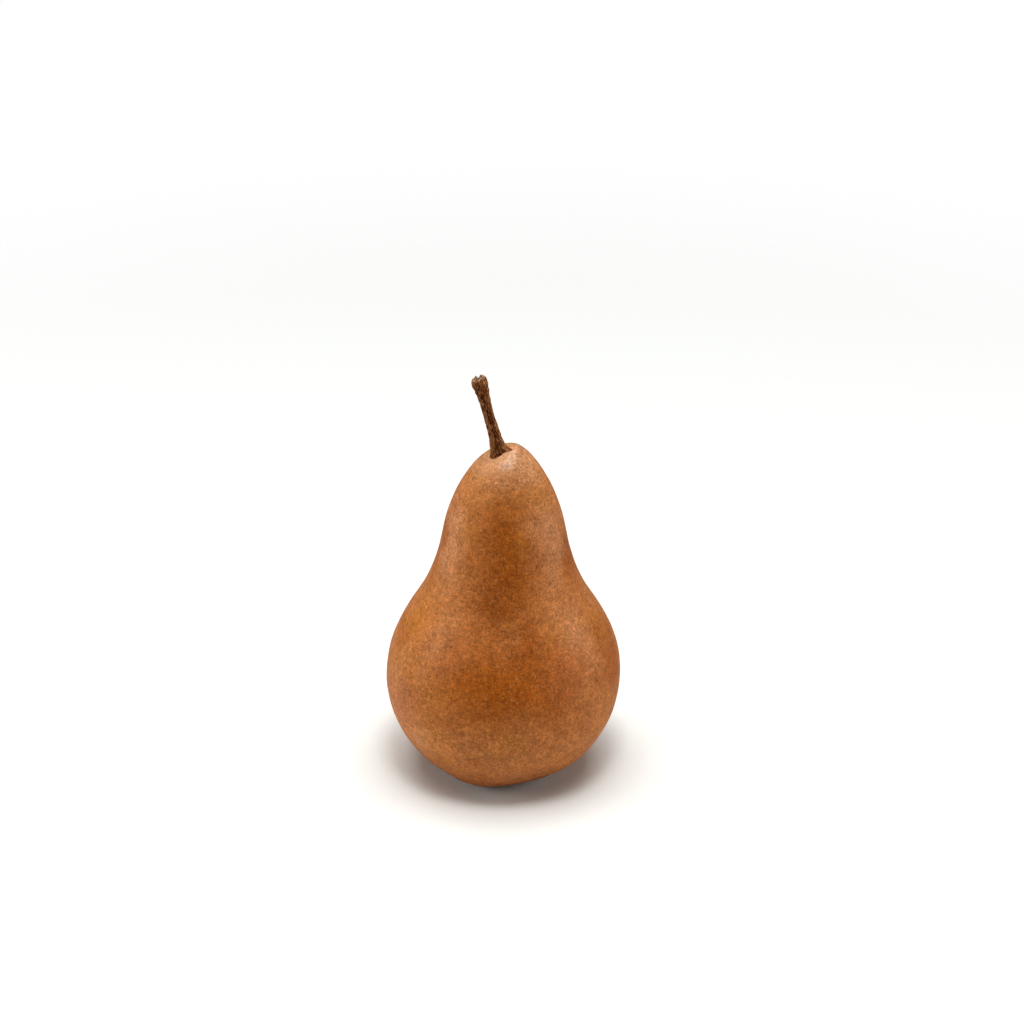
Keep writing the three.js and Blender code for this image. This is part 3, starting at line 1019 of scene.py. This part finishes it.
# %% Relief and gloss
BUMP_STRENGTH, BUMP_HEIGHT = 0.6, 0.4  # the height in mm
CELL_BUMP, MOTTLE_BUMP, BLOTCH_BUMP = 0.8, 0.8, 0.5
ROUGHNESS, MOTTLE_ROUGHNESS, CROWN_SMOOTHER = 0.56, 0.15, 0.2
GLOSS, GRAIN_GLOSS, GLOSS_ROUGHNESS = 0.35, 0.5, 0.3
GLOSS_IOR, SKIN_IOR = 1.5, 1.16  # the skin's own is low, because dry cork hardly shines

height = cells * CELL_BUMP + mottle * MOTTLE_BUMP + blotches * BLOTCH_BUMP
bump = {"Strength": BUMP_STRENGTH, "Distance": BUMP_HEIGHT * MM, "Height": height}
gloss = GLOSS + weave.band(0.3, 0.64) * GRAIN_GLOSS
feed(skin_shader, "Normal", start.node("Bump", None, bump))
feed(skin_shader, "Roughness", ROUGHNESS + mottle * MOTTLE_ROUGHNESS - crown_mask * CROWN_SMOOTHER)
feed(skin_shader, "Coat Weight", crown_mask.band(0.3, 0.8) * gloss)
skin_shader.inputs["Coat Roughness"].default_value = GLOSS_ROUGHNESS
skin_shader.inputs["Coat IOR"].default_value = GLOSS_IOR
skin_shader.inputs["IOR"].default_value = SKIN_IOR
skin.data.materials.append(russet)
print("skin nodes:", len(russet.node_tree.nodes))

# %% [markdown]
# ## Bark of the stem
# The stalk is dark and dry. Its colour follows its relief and its grain: red-brown, black in the cracks
# and grooves, pale tan where chips and fibres of the outer bark have worn, and cream where the wood
# shows at the broken end. Its front is darker as painted shade and its flanks greyer as painted light,
# and a painted shadow lies as a dark crease under the toe of the foot.
# The grain is noise drawn out along the straight rod, so it follows the bend as real fibres do.

# %% Colours and places of the bark
BARK_BLACK = (0.02, 0.006, 0.0025, 1)
BARK_RED = (0.06, 0.009, 0.0005, 1)
BARK_BROWN = (0.1, 0.02, 0.002, 1)
BARK_TAN = (0.5, 0.235, 0.095, 1)
# Grey for the worn ridges, and for the flanks as painted light.
BARK_GREY_AND_SIDE_LIGHT = (0.29, 0.1, 0.032, 1)
WOOD_CREAM = (0.8, 0.66, 0.46, 1)
# Painted shade on the front of the stalk, where no lamp faces.
SHADED_FRONT = ((0.3, -2.2, 15), (2.1, 2.8, 30))  # a centre and a reach in mm on the straight rod
# Painted shadow under the toe of the foot.
CREASE_SHADOW = ((0.4, -2.6, 4.7), (1.7, 1.3, 0.8))
BREAK_EDGE = 0.4  # how far below and above the rod's end bark turns into wood, in mm

# %% Bark
FIBRES, TONES, SCALES = (0.42, 3, 0.7), (1.6, 2, 0.5), (0.28, 1, 0.5)  # size in mm, detail, roughness
FIBRE_DRAW, TONE_DRAW, SCALE_DRAW = (1, 1, 0.14), (1, 1, 0.25), (1, 1, 0.2)  # drawn out along the rod
BARK_BUMP_STRENGTH, BARK_BUMP_HEIGHT, CHIP_BUMP = 0.8, 0.3, 0.4
BARK_ROUGHNESS, BARK_IOR = 0.8, 1.12

bark, start, bark_shader = new_material("bark")
along_rod = start.node("Attribute", {"attribute_name": "rod"}, output="Vector")
relief = start.node("Attribute", {"attribute_name": "relief"}, output="Fac")
fibres = along_rod.stretched(FIBRE_DRAW).cloud(*FIBRES)
tones = along_rod.stretched(TONE_DRAW).cloud(*TONES)
scales = along_rod.stretched(SCALE_DRAW).cloud(*SCALES)
chips = scales.band(0.57, 0.61)
cracks = 1 - (scales * 0.5 + fibres * 0.5).band(0.38, 0.47)
front_shade = along_rod.near(*SHADED_FRONT)
wood = along_rod.axis("Z").band((STEM_LENGTH - BREAK_EDGE) * MM, (STEM_LENGTH + BREAK_EDGE) * MM)
bark_layers = [  # (colour, where it lies, its share there)
    (BARK_BROWN, tones.band(0.42, 0.6), 1.0),
    # Painted shade darkens the front and painted light greys the flanks, and fewer pale chips show in the
    # painted shade.
    (BARK_GREY_AND_SIDE_LIGHT, 1 - front_shade, 0.75),
    (BARK_GREY_AND_SIDE_LIGHT, relief.band(0.5, 0.85), 0.4 - front_shade * 0.3),
    (BARK_BLACK, 1 - relief.band(0.15, 0.45), 0.6),
    (BARK_TAN, fibres.band(0.54, 0.68), 0.35 - front_shade * 0.33),
    (BARK_TAN, chips, 0.8 - front_shade * 0.35),
    (BARK_BLACK, cracks, 0.85),
    (WOOD_CREAM, wood, scales.band(0.5, 0.54)),
    # A painted shadow under the toe of the foot.
    (BARK_BLACK, along_rod.near(*CREASE_SHADOW), 0.9),
]
height = fibres + chips * CHIP_BUMP - cracks * CHIP_BUMP
bump = {"Strength": BARK_BUMP_STRENGTH, "Distance": BARK_BUMP_HEIGHT * MM, "Height": height}
feed(bark_shader, "Base Color", layered(start, BARK_RED, bark_layers))
feed(bark_shader, "Normal", start.node("Bump", None, bump))
bark_shader.inputs["Roughness"].default_value = BARK_ROUGHNESS
bark_shader.inputs["IOR"].default_value = BARK_IOR
stalk.data.materials.append(bark)
print("bark nodes:", len(bark.node_tree.nodes))

# %% [markdown]
# ## Dried calyx
# The cup, the sepals and the stamens died months before the fruit ripened. They are grey-brown and
# matt, with dark areas and bleached ones, and the veins show where they are palest. All three are the
# same dead leaf, so one material serves them, and only its noise sets one spot apart from another.

# %% Dried flower parts
DRIED_DARK = (0.03, 0.016, 0.009, 1)
DRIED_BROWN = (0.13, 0.07, 0.034, 1)
DRIED_PALE = (0.32, 0.23, 0.14, 1)
DRIED_TONES, VEINS = (1.4, 3, 0.6), (0.28, 2, 0.6)  # size in mm, detail and roughness
VEIN_TONE = 0.8  # how strongly the veins change the tone
DRIED_BUMP_STRENGTH, DRIED_BUMP_HEIGHT = 0.7, 0.2
DRIED_ROUGHNESS = 0.85

dried, start, dried_shader = new_material("dried_calyx")
place = start.node("TexCoord", output="Object")
tones = place.cloud(*DRIED_TONES)
veins = place.cloud(*VEINS)
dried_layers = [  # (colour, where it lies, its share there)
    (DRIED_BROWN, tones.band(0.35, 0.6), 1.0),
    (DRIED_PALE, (tones + (veins - 0.5) * VEIN_TONE).band(0.52, 0.8), 0.8),
]
bump = {"Strength": DRIED_BUMP_STRENGTH, "Distance": DRIED_BUMP_HEIGHT * MM, "Height": veins + tones}
feed(dried_shader, "Base Color", layered(start, DRIED_DARK, dried_layers))
feed(dried_shader, "Normal", start.node("Bump", None, bump))
dried_shader.inputs["Roughness"].default_value = DRIED_ROUGHNESS
for piece in (cup, stamens, *sepals):
    piece.data.materials.append(dried)
print("calyx nodes:", len(dried.node_tree.nodes))

# %% [markdown]
# ## Tie the pieces to the frame
# The pear has no joints, so every piece rides on its one body. Each piece is listed with the CAD node
# that it stands for, which is hidden, and with the name of a material slot.

# %% Ride and replace
PIECES = [(skin, "fruit", "skin"), (stalk, "stem", "stem")]
PIECES += [(piece, "calyx", "calyx") for piece in (cup, stamens, *sepals)]
for piece, node, slot in PIECES:
    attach(piece, "root")
    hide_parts(node)
print(len(PIECES), "pieces")
